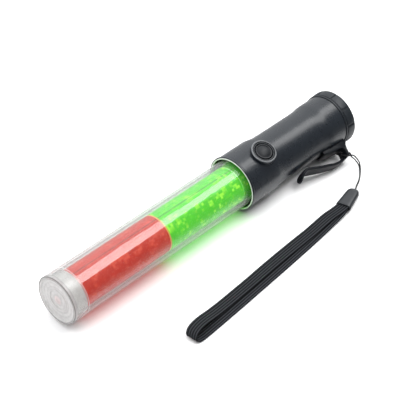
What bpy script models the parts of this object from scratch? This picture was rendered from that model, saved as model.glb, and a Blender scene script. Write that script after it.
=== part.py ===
"""Traffic baton light: a battery handle that carries a clear tube with a red and a green lit sleeve in it.

The scene is in metres with +Z up.  The baton lies along X with its tip at +X, on a floor at Z = 0.
The sizes below are in millimetres, and MM turns them into metres.  A "station" is a distance behind the
tip, measured along the baton's axis, and a "reach" is a distance out from that axis.
"""

import math

import bmesh
import bpy
from mathutils import Matrix, Vector

MM = 0.001

# ---- driving dimensions ----
LENGTH = 310.0
TUBE_RADIUS = 20.0
TUBE_WALL = 1.8
GRIP_RADIUS = 21.2
COLLAR_RADIUS = 22.9
REAR_RADIUS = 22.3
REST_RADIUS = 23.4  # the handle's front rim and the end cap, which the baton lies on
GAP = 0.3  # between pieces that touch

CAP_END = 14.1
SLEEVE_RADIUS = 16.0
SLEEVE_WALL = 1.0
DIVIDER = 102.3
TUBE_END = 197.5
MOUTH = 185.4
PARTITION = 225.8
HANDLE_END = 298.4

BUTTON_STATION = 211.5
BUTTON_ANGLE = 67.0  # degrees round the axis, from +Y towards +Z
BUTTON_TRAVEL = 1.2
CLIP_ANGLE = -30.0
CLIP_REACH = 35.1
CLIP_ROOT = 288.7
BRACKET_HALF_WIDTH = 6.0
EYE_ACROSS = 1.5
EYE_REACH = 29.0
EYE_RADIUS = 1.7
SCREW_STATION = 283.5
SCREW_OFFSET = 3.6
# the rear end of the grip, where it widens: (station, radius)
FLARE = [(270.0, GRIP_RADIUS), (276.0, 21.4), (279.0, 21.8), (281.5, 22.2), (284.0, REAR_RADIUS)]

CELL_RADIUS = 7.1
CELL_LENGTH = 50.0
CELL_SPACING = 15.0
FRONT_CELL_END = 234.2

BOARD_WIDTH = 12.0
BOARD_THICKNESS = 1.6
RED_LED_STATIONS = (34.0, 52.0, 70.0, 88.0)
GREEN_LED_STATIONS = (116.0, 134.0, 152.0, 170.0)

CAP_GROOVES = 10
CAP_GROOVE_WIDTH = 1.4
CAP_GROOVE_DEPTH = 1.0

CORD_RADIUS = 0.55
WEB_WIDTH = 10.4
WEB_THICKNESS = 1.2
WEB_HEADING = 4.5  # degrees from +X, towards +Y

AXIS_Y = -5.0  # puts the middle of the baton and its clip at Y = 0
AXIS_Z = REST_RADIUS
SIDES = 40
BORE = TUBE_RADIUS - TUBE_WALL
SOCKET = TUBE_RADIUS + GAP


# ---- materials ----
def paint(name, colour, roughness, metallic=0.0, transmission=0.0):
    material = bpy.data.materials.new(name)
    material.use_nodes = True
    shader = material.node_tree.nodes["Principled BSDF"]
    shader.inputs["Base Color"].default_value = (*colour, 1.0)
    shader.inputs["Roughness"].default_value = roughness
    shader.inputs["Metallic"].default_value = metallic
    shader.inputs["Transmission Weight"].default_value = transmission
    return material


# ---- shaping helpers ----
def turn(points, axis="X", sides=SIDES):
    """A turned solid.  Each point is (distance along the axis, radius); along X the distance is a station."""
    mesh = bmesh.new()
    if axis == "X":
        verts = [mesh.verts.new((-along * MM, 0, radius * MM)) for along, radius in points]
        spindle = (1, 0, 0)
    else:
        verts = [mesh.verts.new((radius * MM, 0, along * MM)) for along, radius in points]
        spindle = (0, 0, 1)
    edges = [mesh.edges.new(pair) for pair in zip(verts, verts[1:])]
    if points[0][1] > 0 or points[-1][1] > 0:
        edges.append(mesh.edges.new((verts[-1], verts[0])))
    bmesh.ops.spin(
        mesh, geom=verts + edges, axis=spindle, cent=(0, 0, 0), angle=2 * math.pi, steps=sides, use_merge=True
    )
    bmesh.ops.remove_doubles(mesh, verts=mesh.verts[:], dist=1e-7)
    bmesh.ops.recalc_face_normals(mesh, faces=mesh.faces[:])
    return mesh


def block(size, centre):
    mesh = bmesh.new()
    bmesh.ops.create_cube(mesh, size=1.0)
    bmesh.ops.scale(mesh, vec=Vector(size) * MM, verts=mesh.verts)
    bmesh.ops.translate(mesh, vec=Vector(centre) * MM, verts=mesh.verts)
    return mesh


def loft(sections):
    """A solid through closed sections that all have the same number of corners."""
    mesh = bmesh.new()
    rings = [[mesh.verts.new(Vector(corner) * MM) for corner in section] for section in sections]
    count = len(rings[0])
    for first, second in zip(rings, rings[1:]):
        for i in range(count):
            j = (i + 1) % count
            mesh.faces.new((first[i], first[j], second[j], second[i]))
    mesh.faces.new(rings[0])
    mesh.faces.new(rings[-1])
    bmesh.ops.recalc_face_normals(mesh, faces=mesh.faces[:])
    return mesh


def side_plate(outline, half_width):
    """An outline of (station, reach) corners, given a width across the clip."""
    return loft([[(-station, side, reach) for station, reach in outline] for side in (-half_width, half_width)])


def place(name, mesh, material, parent, smooth=True):
    data = bpy.data.meshes.new(name)
    mesh.to_mesh(data)
    mesh.free()
    if smooth:
        data.shade_smooth()
        data.set_sharp_from_angle(angle=math.radians(30))
    data.materials.append(material)
    item = bpy.data.objects.new(name, data)
    item.parent = parent
    bpy.context.scene.collection.objects.link(item)
    return item


def helper(name, mesh, parent):
    """A shape that only cuts or adds to another one."""
    data = bpy.data.meshes.new(name)
    mesh.to_mesh(data)
    mesh.free()
    item = bpy.data.objects.new(name, data)
    item.parent = parent
    item.hide_render = True
    item.display_type = "WIRE"
    bpy.context.scene.collection.objects.link(item)
    return item


def combine(target, other, operation="DIFFERENCE"):
    modifier = target.modifiers.new(other.name, "BOOLEAN")
    modifier.operation = operation
    modifier.solver = "EXACT"
    modifier.object = other


def barrel_frame(name, station, angle):
    """An empty on the baton's axis whose local Z points out from the axis at this angle."""
    frame = bpy.data.objects.new(name, None)
    frame.location = Vector((LENGTH / 2 - station, AXIS_Y, AXIS_Z)) * MM
    frame.rotation_euler = (math.radians(angle - 90.0), 0, 0)
    bpy.context.scene.collection.objects.link(frame)
    return frame


def smooth_route(points, steps):
    """Points on a smooth curve through the given points, with this many steps between each two of them."""
    route = [Vector(point) for point in points]
    route = [2 * route[0] - route[1], *route, 2 * route[-1] - route[-2]]
    smooth = []
    for a, b, c, d in zip(route, route[1:], route[2:], route[3:]):
        for step in range(steps):
            t = step / steps
            bend = (2 * a - 5 * b + 4 * c - d) * t * t + (3 * b - 3 * c + d - a) * t**3
            smooth.append((2 * b + (c - a) * t + bend) / 2)
    smooth.append(route[-2])
    return smooth


def tube_along(name, points, radius, material):
    """A round cord or wire through the points, in millimetres, with closed ends."""
    curve = bpy.data.curves.new(name, "CURVE")
    curve.dimensions = "3D"
    curve.bevel_depth = radius * MM
    curve.bevel_resolution = 2
    curve.use_fill_caps = True
    spline = curve.splines.new("POLY")
    spline.points.add(len(points) - 1)
    for slot, point in zip(spline.points, points):
        slot.co = (*(Vector(point) * MM), 1.0)
    curve.materials.append(material)
    item = bpy.data.objects.new(name, curve)
    bpy.context.scene.collection.objects.link(item)
    return item


# ---- light head ----
def make_tip_cap(axis, frosted):
    """A frosted plug with a raised rim, a ring and a small lens on its face, and a spigot inside the tube."""
    spigot = BORE - GAP
    profile = [
        (0.5, 0.0), (0.8, 2.6), (1.5, 4.2), (1.5, 7.6), (0.9, 8.0), (0.9, 9.2), (1.5, 9.7), (1.5, 16.8),
        (0.3, 17.5), (0.0, 18.0), (0.0, 19.2), (0.6, TUBE_RADIUS), (3.0, TUBE_RADIUS), (3.0, spigot),
        (CAP_END, spigot), (CAP_END, SLEEVE_RADIUS + GAP), (3.6, SLEEVE_RADIUS + GAP), (3.6, 0.0),
    ]  # fmt: skip
    place("tip_cap", turn(profile), frosted, axis)


def make_outer_tube(axis, clear):
    front = 3.0 + GAP
    profile = [(front, TUBE_RADIUS), (TUBE_END, TUBE_RADIUS), (TUBE_END, BORE), (front, BORE)]
    place("outer_tube", turn(profile), clear, axis)


def make_sleeve(name, front, rear, axis, tinted):
    inner = SLEEVE_RADIUS - SLEEVE_WALL
    profile = [(front, SLEEVE_RADIUS), (rear, SLEEVE_RADIUS), (rear, inner), (front, inner)]
    place(name, turn(profile), tinted, axis)


def make_divider(axis, tinted):
    """The disc between the two sleeves, with a short spigot into each and a slot for the board."""
    spigot = SLEEVE_RADIUS - SLEEVE_WALL - GAP
    front, rear = DIVIDER - 0.5, DIVIDER + 0.5
    profile = [
        (front, 0.0), (front, spigot - 1.2), (front - 2, spigot - 1.2), (front - 2, spigot), (front, spigot),
        (front, SLEEVE_RADIUS), (rear, SLEEVE_RADIUS), (rear, spigot), (rear + 2, spigot),
        (rear + 2, spigot - 1.2), (rear, spigot - 1.2), (rear, 0.0),
    ]  # fmt: skip
    return place("sleeve_divider", turn(profile), tinted, axis)


def make_tube_holder(axis, white):
    """The plug that joins the tube and the green sleeve to the handle."""
    spigot = SLEEVE_RADIUS - SLEEVE_WALL - GAP
    plug = BORE - GAP
    rear = TUBE_END + 3.0
    profile = [
        (193.5, 0.0), (193.5, spigot - 1.7), (188.0, spigot - 1.7), (188.0, spigot), (192.8, spigot),
        (192.8, plug), (TUBE_END + GAP, plug), (TUBE_END + GAP, TUBE_RADIUS), (rear, TUBE_RADIUS), (rear, 0.0),
    ]  # fmt: skip
    return place("tube_holder", turn(profile), white, axis)


def make_led_board(frame, green_board):
    """One long board carries the lights and, at its handle end, the switch."""
    front, rear = 20.0, 222.5
    middle = BUTTON_STATION - (front + rear) / 2
    mesh = block((rear - front, BOARD_WIDTH, BOARD_THICKNESS), (middle, 0, 0))
    place("led_board", mesh, green_board, frame, smooth=False)


def make_led(name, station, up, frame, tinted):
    """A five millimetre lamp that stands on one face of the board."""
    foot = BOARD_THICKNESS / 2 + GAP
    profile = [(foot, 0.0), (foot, 2.9), (foot + 1, 2.9), (foot + 1, 2.5), (foot + 6, 2.5)]
    for step in (1, 2):
        bend = math.radians(30 * step)
        profile.append((foot + 6 + 2.5 * math.sin(bend), 2.5 * math.cos(bend)))
    profile.append((foot + 8.5, 0.0))
    mesh = turn(profile, axis="Z", sides=10)
    if not up:
        bmesh.ops.rotate(mesh, cent=(0, 0, 0), matrix=Matrix.Rotation(math.pi, 3, "X"), verts=mesh.verts)
    bmesh.ops.translate(mesh, vec=((BUTTON_STATION - station) * MM, 0, 0), verts=mesh.verts)
    place(name, mesh, tinted, frame)


# ---- handle ----
def make_mouth_ring(axis, pale):
    """A thin ring let into the handle's mouth, a little way out from the tube."""
    rear = MOUTH + 2.4
    profile = [(MOUTH - 0.2, 21.7), (MOUTH - 0.2, 22.3), (MOUTH, 22.5), (rear, 22.5), (rear, 21.7)]
    place("mouth_ring", turn(profile), pale, axis)


def make_handle_shell(axis, black):
    """A collar, a slimmer grip and a fuller rear end, bored for the tube in front and the cells behind."""
    outside = [
        (MOUTH, 23.1), (MOUTH + 0.3, REST_RADIUS), (MOUTH + 1.3, REST_RADIUS), (MOUTH + 2.0, COLLAR_RADIUS),
        (216.0, COLLAR_RADIUS), (219.0, 22.4), (222.0, 21.8), (226.0, 21.4), (240.0, GRIP_RADIUS),
        *FLARE, (HANDLE_END, REAR_RADIUS),
    ]  # fmt: skip
    battery_bore = 18.7
    thread_bore = 19.9
    inside = [
        (HANDLE_END, thread_bore), (288.0, thread_bore), (287.0, battery_bore),
        (PARTITION + 2.5, battery_bore), (PARTITION + 2.5, 5.0), (PARTITION, 5.0),
        (PARTITION, battery_bore), (TUBE_END + 3.3, battery_bore), (TUBE_END + 3.3, SOCKET),
        (193.0, SOCKET), (193.0, 21.4), (MOUTH + 2.7, 21.4), (MOUTH + 2.7, 22.8), (MOUTH, 22.8),
    ]  # fmt: skip
    return place("handle_shell", turn(outside + inside), black, axis)


def fit_button(handle, frame, black, rubber, red_plastic):
    """A round boss on the collar, with a bezel, a domed rubber button and the switch below it."""
    boss_top = 25.6
    boss = [(19.4, 0.0), (19.4, 10.4), (boss_top - 0.5, 10.4), (boss_top, 9.9), (boss_top, 0.0)]
    combine(handle, helper("boss_shape", turn(boss, axis="Z", sides=40), frame), "UNION")
    well = [(14.0, 0.0), (14.0, 7.3), (22.6, 7.3), (22.6, 9.1), (30.0, 9.1), (30.0, 0.0)]
    combine(handle, helper("button_well", turn(well, axis="Z", sides=40), frame))

    bezel = [(22.9, 7.5), (22.9, 8.8), (24.9, 8.8), (25.2, 8.5), (25.2, 7.8), (24.9, 7.5)]
    place("button_bezel", turn(bezel, axis="Z", sides=40), black, frame)

    dome = [
        (15.9, 0.0), (15.9, 2.4), (21.4, 2.4), (21.4, 7.0), (25.0, 7.0), (25.4, 6.7), (25.4, 6.0),
        (24.9, 5.6), (25.5, 4.6), (26.1, 2.6), (26.3, 0.0),
    ]  # fmt: skip
    place("button_cap", turn(dome, axis="Z", sides=32), rubber, frame)

    foot = BOARD_THICKNESS / 2 + GAP
    body = place("switch_body", block((8.5, 8.5, 8.5), (0, 0, foot + 4.25)), black, frame, smooth=False)
    plunger_foot = 7.8
    bore_floor = plunger_foot - BUTTON_TRAVEL - 0.4
    plunger_bore = turn([(bore_floor, 0.0), (bore_floor, 1.9), (12.0, 1.9), (12.0, 0.0)], axis="Z", sides=12)
    combine(body, helper("plunger_bore", plunger_bore, frame))
    plunger = turn([(plunger_foot, 0.0), (plunger_foot, 1.6), (15.6, 1.6), (15.6, 0.0)], axis="Z", sides=12)
    place("switch_plunger", plunger, red_plastic, frame)


# ---- power ----
def make_contacts(axis, green_board, brass):
    """The contact board on the partition, with a centre contact and a ring, and two leads to the lamps."""
    front = PARTITION + 2.5 + GAP
    rear = front + 1.2
    board = [(front, 0.0), (front, 17.5), (rear, 17.5), (rear, 0.0)]
    place("contact_board", turn(board, sides=32), green_board, axis)
    pin = [(rear + GAP, 0.0), (rear + GAP, 3.0), (rear + 1.1, 2.4), (rear + 1.1, 0.0)]
    place("centre_contact", turn(pin, sides=16), brass, axis)
    ring = [(rear + GAP, 10.0), (rear + 0.8, 10.0), (rear + 0.8, 12.0), (rear + GAP, 12.0)]
    place("ring_contact", turn(ring, sides=32), brass, axis)


def make_lead(name, side, material):
    """A wire from the tail of the lamp board through the partition to the contact board."""
    stations = (217.0, 220.0, 223.5, PARTITION + 2.4)
    offsets = ((side * 4.2, 3.4), (side * 4.0, 3.6), (side * 3.2, 2.4), (side * 2.6, 1.2))
    route = [
        (LENGTH / 2 - station, AXIS_Y + across, AXIS_Z + up)
        for station, (across, up) in zip(stations, offsets)
    ]
    tube_along(name, smooth_route(route, 4), 0.5, material)


def make_cell(name, across, up, nub_in_front, axis, wrap):
    nub = [(0.0, 0.0), (0.0, 2.6), (1.2, 2.6), (1.2, CELL_RADIUS - 0.8), (1.9, CELL_RADIUS)]
    tail = [(CELL_LENGTH - 0.5, CELL_RADIUS), (CELL_LENGTH, CELL_RADIUS - 0.8), (CELL_LENGTH, 0.0)]
    profile = nub + tail
    if not nub_in_front:
        profile = [(CELL_LENGTH - along, radius) for along, radius in reversed(profile)]
    mesh = turn([(FRONT_CELL_END + along, radius) for along, radius in profile], sides=20)
    bmesh.ops.translate(mesh, vec=(0, across * MM, up * MM), verts=mesh.verts)
    place(name, mesh, wrap, axis)


def make_carrier(axis, grey):
    """A spool: two end plates on a centre rod, with the four cells standing round the rod."""
    plate, rod = 18.2, 3.0
    front, rear = FRONT_CELL_END - GAP, FRONT_CELL_END + CELL_LENGTH + GAP
    profile = [
        (front - 2, 0.0), (front - 2, plate), (front, plate), (front, rod),
        (rear, rod), (rear, plate), (rear + 2, plate), (rear + 2, 0.0),
    ]  # fmt: skip
    place("cell_carrier", turn(profile, sides=32), grey, axis)


def make_cap_spring(steel):
    """A coil that presses the carrier forward from the end cap."""
    first, last = FRONT_CELL_END + CELL_LENGTH + 2.0 + 3 * GAP, 303.4
    turns, per_turn = 4, 12
    route = []
    for step in range(turns * per_turn + 1):
        share = step / (turns * per_turn)
        bend = 2 * math.pi * turns * share
        reach = 8.0 + 3.0 * share
        station = first + (last - first) * share
        across, up = reach * math.cos(bend), reach * math.sin(bend)
        route.append((LENGTH / 2 - station, AXIS_Y + across, AXIS_Z + up))
    tube_along("cap_spring", route, 0.5, steel)


def make_spring_seat(axis, steel):
    profile = [(304.4, 0.0), (304.4, 13.5), (305.2, 13.5), (305.2, 0.0)]
    place("spring_seat", turn(profile, sides=32), steel, axis)


# ---- end cap ----
def make_end_cap(axis, black):
    """A screw cap: a plug with a seal groove, and a skirt with a groove between each two of its flats."""
    front = HANDLE_END + GAP
    plug, seal_floor, hollow = 19.6, 18.0, 17.0
    profile = [
        (305.5, 0.0), (305.5, hollow), (289.2, hollow), (289.2, plug - 0.5), (289.8, plug),
        (295.2, plug), (295.2, seal_floor), (297.1, seal_floor), (297.1, plug), (front, plug),
        (front, 22.6), (front + 0.3, 23.0), (299.9, 23.0), (300.2, 22.4), (300.8, 22.4),
        (301.1, 23.0), (307.3, REST_RADIUS), (309.1, 22.9), (LENGTH, 21.6), (LENGTH, 0.0),
    ]  # fmt: skip
    cap = place("end_cap", turn(profile), black, axis)
    cutters = bmesh.new()
    floor = REST_RADIUS - CAP_GROOVE_DEPTH
    reach_of_cut = (LENGTH - 300.5) + 1.0
    for index in range(CAP_GROOVES):
        bend = math.radians(13.0 + index * 360.0 / CAP_GROOVES)
        middle = Vector((-300.5 - reach_of_cut / 2, floor + 2.0, 0)) * MM
        matrix = Matrix.Rotation(bend, 4, "X") @ Matrix.Translation(middle)
        matrix = matrix @ Matrix.Diagonal((reach_of_cut * MM, 4.0 * MM, CAP_GROOVE_WIDTH * MM, 1.0))
        bmesh.ops.create_cube(cutters, size=1.0, matrix=matrix)
    combine(cap, helper("cap_groove_cutters", cutters, axis))


def make_cap_seal(axis, rubber):
    middle, reach, thick = 296.15, 18.95, 0.8
    ring = []
    for step in range(8):
        bend = 2 * math.pi * step / 8
        ring.append((middle + thick * math.cos(bend), reach + thick * math.sin(bend)))
    place("cap_seal", turn(ring, sides=40), rubber, axis)


# ---- belt clip ----
def make_clip_bracket(frame, axis, black):
    """The foot of the clip: a pad that fits the handle, and a thin leaning plate with the strap's eye in it."""
    outline = [
        (289.0, CLIP_REACH), (290.9, 28.6), (289.6, 26.6), (286.5, 25.9), (280.0, 25.4), (274.5, 24.2),
        (271.0, 23.0), (271.0, 20.0), (297.0, 20.0), (297.0, 23.8), (294.9, 25.6), (293.2, 28.6),
        (291.2, CLIP_REACH),
    ]  # fmt: skip
    bracket = place("clip_bracket", side_plate(outline, BRACKET_HALF_WIDTH), black, frame)
    seat = [(station, radius + GAP) for station, radius in FLARE]
    seat = [(260.0, 0.0), (260.0, GRIP_RADIUS + GAP), *seat, (305.0, REAR_RADIUS + GAP), (305.0, 0.0)]
    combine(bracket, helper("barrel_shape", turn(seat, sides=64), axis))
    eye = bmesh.new()
    bmesh.ops.create_cone(
        eye, cap_ends=True, segments=14, radius1=EYE_RADIUS * MM, radius2=EYE_RADIUS * MM, depth=10 * MM
    )
    along = Matrix.Rotation(math.radians(90), 4, "Y")
    spot = Matrix.Translation(Vector((-291.8, EYE_ACROSS, EYE_REACH)) * MM)
    bmesh.ops.transform(eye, matrix=spot @ along, verts=eye.verts)
    combine(bracket, helper("eye_cutter", eye, frame))
    return bracket


def fit_clip_screws(frame, handle, bracket, steel):
    """Two screws go out from inside the battery bay, through the wall and into the bracket's pad."""
    hole = [(10.0, 0.0), (10.0, 2.9), (20.6, 2.9), (20.6, 1.5), (24.6, 1.5), (24.6, 0.0)]
    screw = [(18.9, 0.0), (18.9, 2.6), (20.3, 2.6), (20.3, 1.2), (24.3, 1.2), (24.3, 0.0)]
    for number, side in enumerate((-1, 1), start=1):
        spot = Vector((-SCREW_STATION, side * SCREW_OFFSET, 0)) * MM
        hole_mesh = turn(hole, axis="Z", sides=16)
        screw_mesh = turn(screw, axis="Z", sides=16)
        for mesh in (hole_mesh, screw_mesh):
            bmesh.ops.translate(mesh, vec=spot, verts=mesh.verts)
        cutter = helper(f"screw_hole_{number}", hole_mesh, frame)
        combine(handle, cutter)
        combine(bracket, cutter)
        place(f"clip_screw_{number}", screw_mesh, steel, frame)


def make_belt_clip(pivot, black):
    """A sprung leaf: it bows out from the bracket, closes in on the grip, then flares to a rounded tongue."""
    # station, outer reach, thickness, upper edge, lower edge (both across the clip)
    course = [
        (CLIP_ROOT, CLIP_REACH, 2.4, -1.5, 5.4), (285.0, 35.9, 2.5, -2.0, 5.4), (280.0, 36.1, 2.6, -3.0, 5.4),
        (275.0, 35.5, 2.7, -4.2, 5.4), (269.0, 34.0, 2.9, -5.4, 5.6), (263.0, 32.2, 3.0, -6.0, 5.8),
        (257.0, 30.0, 3.0, -6.2, 6.0), (252.0, 28.0, 2.9, -6.4, 6.2), (248.5, 26.8, 2.8, -6.6, 6.4),
        (245.5, 26.8, 2.7, -6.7, 6.5), (242.8, 27.9, 2.5, -6.1, 6.1), (240.6, 29.4, 2.4, -4.6, 4.6),
        (239.4, 30.4, 2.2, -2.6, 2.6),
    ]  # fmt: skip
    slopes = [0.25]
    for before, after in zip(course, course[2:]):
        slopes.append(math.atan2(after[1] - before[1], before[0] - after[0]))
    slopes.append(slopes[-1])
    sections = []
    for (station, reach, thickness, upper, lower), slope in zip(course, slopes):
        out_x, out_z = CLIP_ROOT - station, reach - CLIP_REACH
        in_x, in_z = out_x + thickness * math.sin(slope), out_z - thickness * math.cos(slope)
        sections.append([(out_x, upper, out_z), (out_x, lower, out_z), (in_x, lower, in_z), (in_x, upper, in_z)])
    place("belt_clip", loft(sections), black, pivot)


# ---- wrist strap ----
def clip_point(station, across, reach):
    """A point beside the clip: across it downwards, and out from the baton's axis."""
    angle = math.radians(CLIP_ANGLE)
    out = Vector((0, math.cos(angle), math.sin(angle)))
    down = Vector((0, math.sin(angle), -math.cos(angle)))
    return Vector((LENGTH / 2 - station, AXIS_Y, AXIS_Z)) + out * reach + down * across


def make_lanyard(black_cord):
    """One thin cord, doubled: from the ferrule, round the plate's edge, through its eye, and back."""
    route = [
        (-110.0, 56.1, 4.1), (-115.4, 52.6, 3.5), (-120.2, 50.1, 2.7), (-125.2, 47.6, 2.0),
        (-129.8, 44.8, 1.9), (-134.4, 41.3, 2.2), (-137.9, 38.2, 3.4), (-139.9, 35.4, 5.3),
        (-140.0, 33.1, 7.1), (-139.4, 30.7, 9.1),
        clip_point(293.2, -5.4, 36.2), clip_point(290.8, -7.2, 36.4), clip_point(288.1, -7.0, 35.0),
        clip_point(288.3, -3.4, 32.2), clip_point(289.0, 0.0, 29.8), clip_point(291.8, EYE_ACROSS, EYE_REACH),
        clip_point(293.9, 0.0, 29.9), clip_point(293.3, -3.0, 32.2), clip_point(292.7, -5.0, 34.6),
        (-136.3, 29.6, 9.5), (-137.8, 30.9, 8.0), (-138.6, 32.5, 6.2), (-139.2, 34.8, 3.7),
        (-138.4, 37.0, 2.0), (-135.6, 40.0, 0.9), (-131.5, 43.4, 0.7), (-127.0, 46.5, 0.7),
        (-122.0, 49.2, 1.1), (-117.0, 51.7, 1.9), (-112.6, 54.3, 2.5), (-110.0, 56.1, 2.7),
    ]  # fmt: skip
    tube_along("lanyard_cord", smooth_route(route, 2), CORD_RADIUS, black_cord)


def make_ferrule(frame, satin):
    """A flat clasp with a rounded front end, on a frame of its own whose X points along the strap."""
    half_length, half_width, height = 10.0, 6.2, 6.0
    rounded = [(half_length, -half_width), (half_length, half_width)]
    for step in range(0, 9):
        bend = math.radians(90 + 22.5 * step)
        rounded.append((-7.1 + 5.6 * math.cos(bend), 5.2 * math.sin(bend)))
    sections = []
    for up, shrink in ((0.1, 0.8), (0.9, 0.0), (height - 1.2, 0.0), (height - 0.3, 0.5), (height, 1.3)):
        sections.append([(x * (1 - shrink / 12), y * (1 - shrink / 6), up) for x, y in rounded])
    place("strap_ferrule", loft(sections), satin, frame)


def make_webbing(black_web):
    """One ribbon: out of the ferrule along the floor, over at the far end, and back on top of itself."""
    route = [
        (-85.9, 63.6, 2.0), (-79.5, 64.6, 1.2), (-65.5, 65.6, 0.7), (-39.5, 67.6, 0.7), (-9.5, 70.4, 0.7),
        (20.5, 73.0, 0.7), (50.5, 75.5, 0.7), (75.5, 77.4, 0.7), (91.5, 78.4, 0.7), (97.7, 78.4, 1.5),
        (99.7, 77.6, 3.6), (96.9, 76.2, 5.6), (91.0, 74.5, 6.2), (82.5, 72.8, 5.4), (68.5, 71.0, 3.4),
        (50.5, 69.2, 2.6), (25.5, 67.2, 2.4), (0.5, 65.0, 2.3), (-24.5, 63.3, 2.3), (-49.5, 62.0, 2.4),
        (-69.5, 61.6, 2.9), (-79.5, 61.8, 3.5), (-85.3, 61.8, 4.1),
    ]  # fmt: skip
    heading = math.radians(WEB_HEADING)
    side = Vector((-math.sin(heading), math.cos(heading), 0)) * WEB_WIDTH / 2
    points = smooth_route(route, 3)
    sections = []
    for index, point in enumerate(points):
        ahead = points[min(index + 1, len(points) - 1)] - points[max(index - 1, 0)]
        face = ahead.cross(side).normalized() * WEB_THICKNESS / 2
        sections.append([point - side - face, point + side - face, point + side + face, point - side + face])
    place("strap_webbing", loft(sections), black_web, parent=None)


def main():
    for item in list(bpy.data.objects):
        bpy.data.objects.remove(item)

    black = paint("black_plastic", (0.035, 0.038, 0.042), 0.38)
    clip_black = paint("clip_plastic", (0.02, 0.021, 0.023), 0.42)
    clear = paint("clear_plastic", (0.95, 0.96, 0.96), 0.05, transmission=0.95)
    frosted = paint("frosted_plastic", (0.72, 0.73, 0.71), 0.5, transmission=0.4)
    red = paint("red_film", (0.85, 0.09, 0.05), 0.35)
    green = paint("green_film", (0.12, 0.78, 0.06), 0.35)
    amber = paint("amber_plastic", (0.95, 0.55, 0.15), 0.4)
    pale = paint("pale_ring", (0.8, 0.88, 0.76), 0.35)
    white = paint("white_plastic", (0.8, 0.8, 0.78), 0.45)
    satin = paint("satin_grey", (0.12, 0.125, 0.13), 0.35)
    rubber = paint("black_rubber", (0.03, 0.03, 0.032), 0.6)
    board = paint("circuit_board", (0.03, 0.22, 0.08), 0.4)
    brass = paint("brass", (0.78, 0.6, 0.25), 0.3, metallic=1.0)
    steel = paint("steel", (0.6, 0.6, 0.6), 0.3, metallic=1.0)
    wrap = paint("cell_wrap", (0.65, 0.42, 0.12), 0.35, metallic=0.6)
    cord = paint("black_cord", (0.015, 0.015, 0.017), 0.8)

    axis = bpy.data.objects.new("baton_axis", None)
    axis.location = Vector((LENGTH / 2, AXIS_Y, AXIS_Z)) * MM
    bpy.context.scene.collection.objects.link(axis)
    button_frame = barrel_frame("button_axis", BUTTON_STATION, BUTTON_ANGLE)
    clip_frame = barrel_frame("clip_axis", 0.0, CLIP_ANGLE)

    make_tip_cap(axis, frosted)
    make_outer_tube(axis, clear)
    make_sleeve("red_sleeve", 5.5, DIVIDER - 0.5 - GAP, axis, red)
    make_sleeve("green_sleeve", DIVIDER + 0.5 + GAP, 192.5, axis, green)
    divider = make_divider(axis, amber)
    holder = make_tube_holder(axis, white)
    slot_size = (240.0, BOARD_WIDTH + 2 * GAP, BOARD_THICKNESS + 2 * GAP)
    slot = helper("board_slot", block(slot_size, (60.0, 0, 0)), button_frame)
    combine(divider, slot)
    combine(holder, slot)
    make_led_board(button_frame, board)
    for colour, tinted, stations in (("red", red, RED_LED_STATIONS), ("green", green, GREEN_LED_STATIONS)):
        for number, station in enumerate(stations, start=1):
            make_led(f"{colour}_led_{number}", station, number % 2 == 1, button_frame, tinted)

    make_mouth_ring(axis, pale)
    handle = make_handle_shell(axis, black)
    fit_button(handle, button_frame, clip_black, rubber, red)
    make_contacts(axis, board, brass)
    make_lead("positive_lead", 1, red)
    make_lead("negative_lead", -1, cord)
    make_carrier(axis, white)
    half = CELL_SPACING / 2
    for number, (across, up) in enumerate(((half, half), (-half, half), (-half, -half), (half, -half)), start=1):
        make_cell(f"cell_{number}", across, up, number % 2 == 1, axis, wrap)
    make_cap_spring(steel)
    make_spring_seat(axis, steel)
    make_end_cap(axis, black)
    make_cap_seal(axis, rubber)

    bracket = make_clip_bracket(clip_frame, axis, clip_black)
    fit_clip_screws(clip_frame, handle, bracket, steel)
    pivot = bpy.data.objects.new("clip_pivot", None)
    pivot.parent = clip_frame
    pivot.location = Vector((-CLIP_ROOT, 0, CLIP_REACH)) * MM
    bpy.context.scene.collection.objects.link(pivot)
    make_belt_clip(pivot, clip_black)

    make_lanyard(cord)
    ferrule_frame = bpy.data.objects.new("ferrule_frame", None)
    ferrule_frame.location = Vector((-97.1, 59.8, 0)) * MM
    ferrule_frame.rotation_euler = (0, 0, math.radians(16))
    bpy.context.scene.collection.objects.link(ferrule_frame)
    make_ferrule(ferrule_frame, satin)
    make_webbing(cord)


main()
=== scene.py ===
import math

import bmesh
import bpy
import numpy as np
from mathutils import Matrix, Vector


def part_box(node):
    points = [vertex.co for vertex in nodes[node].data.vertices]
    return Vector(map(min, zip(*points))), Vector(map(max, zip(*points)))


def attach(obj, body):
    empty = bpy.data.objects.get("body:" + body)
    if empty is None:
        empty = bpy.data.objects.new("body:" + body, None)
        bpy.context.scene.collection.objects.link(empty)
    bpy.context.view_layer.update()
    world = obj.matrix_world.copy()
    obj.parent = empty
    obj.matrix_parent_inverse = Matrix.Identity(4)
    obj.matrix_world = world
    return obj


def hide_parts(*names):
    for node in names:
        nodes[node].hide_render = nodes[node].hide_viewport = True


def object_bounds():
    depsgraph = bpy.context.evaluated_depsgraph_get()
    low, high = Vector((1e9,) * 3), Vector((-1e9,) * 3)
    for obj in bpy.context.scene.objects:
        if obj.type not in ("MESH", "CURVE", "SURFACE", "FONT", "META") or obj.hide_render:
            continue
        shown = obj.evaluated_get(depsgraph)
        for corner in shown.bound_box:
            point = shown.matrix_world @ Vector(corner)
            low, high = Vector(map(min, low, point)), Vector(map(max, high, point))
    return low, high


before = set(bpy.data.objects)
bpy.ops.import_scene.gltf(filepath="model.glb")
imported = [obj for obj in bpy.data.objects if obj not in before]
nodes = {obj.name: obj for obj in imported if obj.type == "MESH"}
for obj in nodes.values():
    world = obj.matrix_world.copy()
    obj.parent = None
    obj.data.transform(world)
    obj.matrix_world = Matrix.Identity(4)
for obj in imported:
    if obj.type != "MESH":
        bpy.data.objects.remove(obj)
cad_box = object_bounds()

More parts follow.
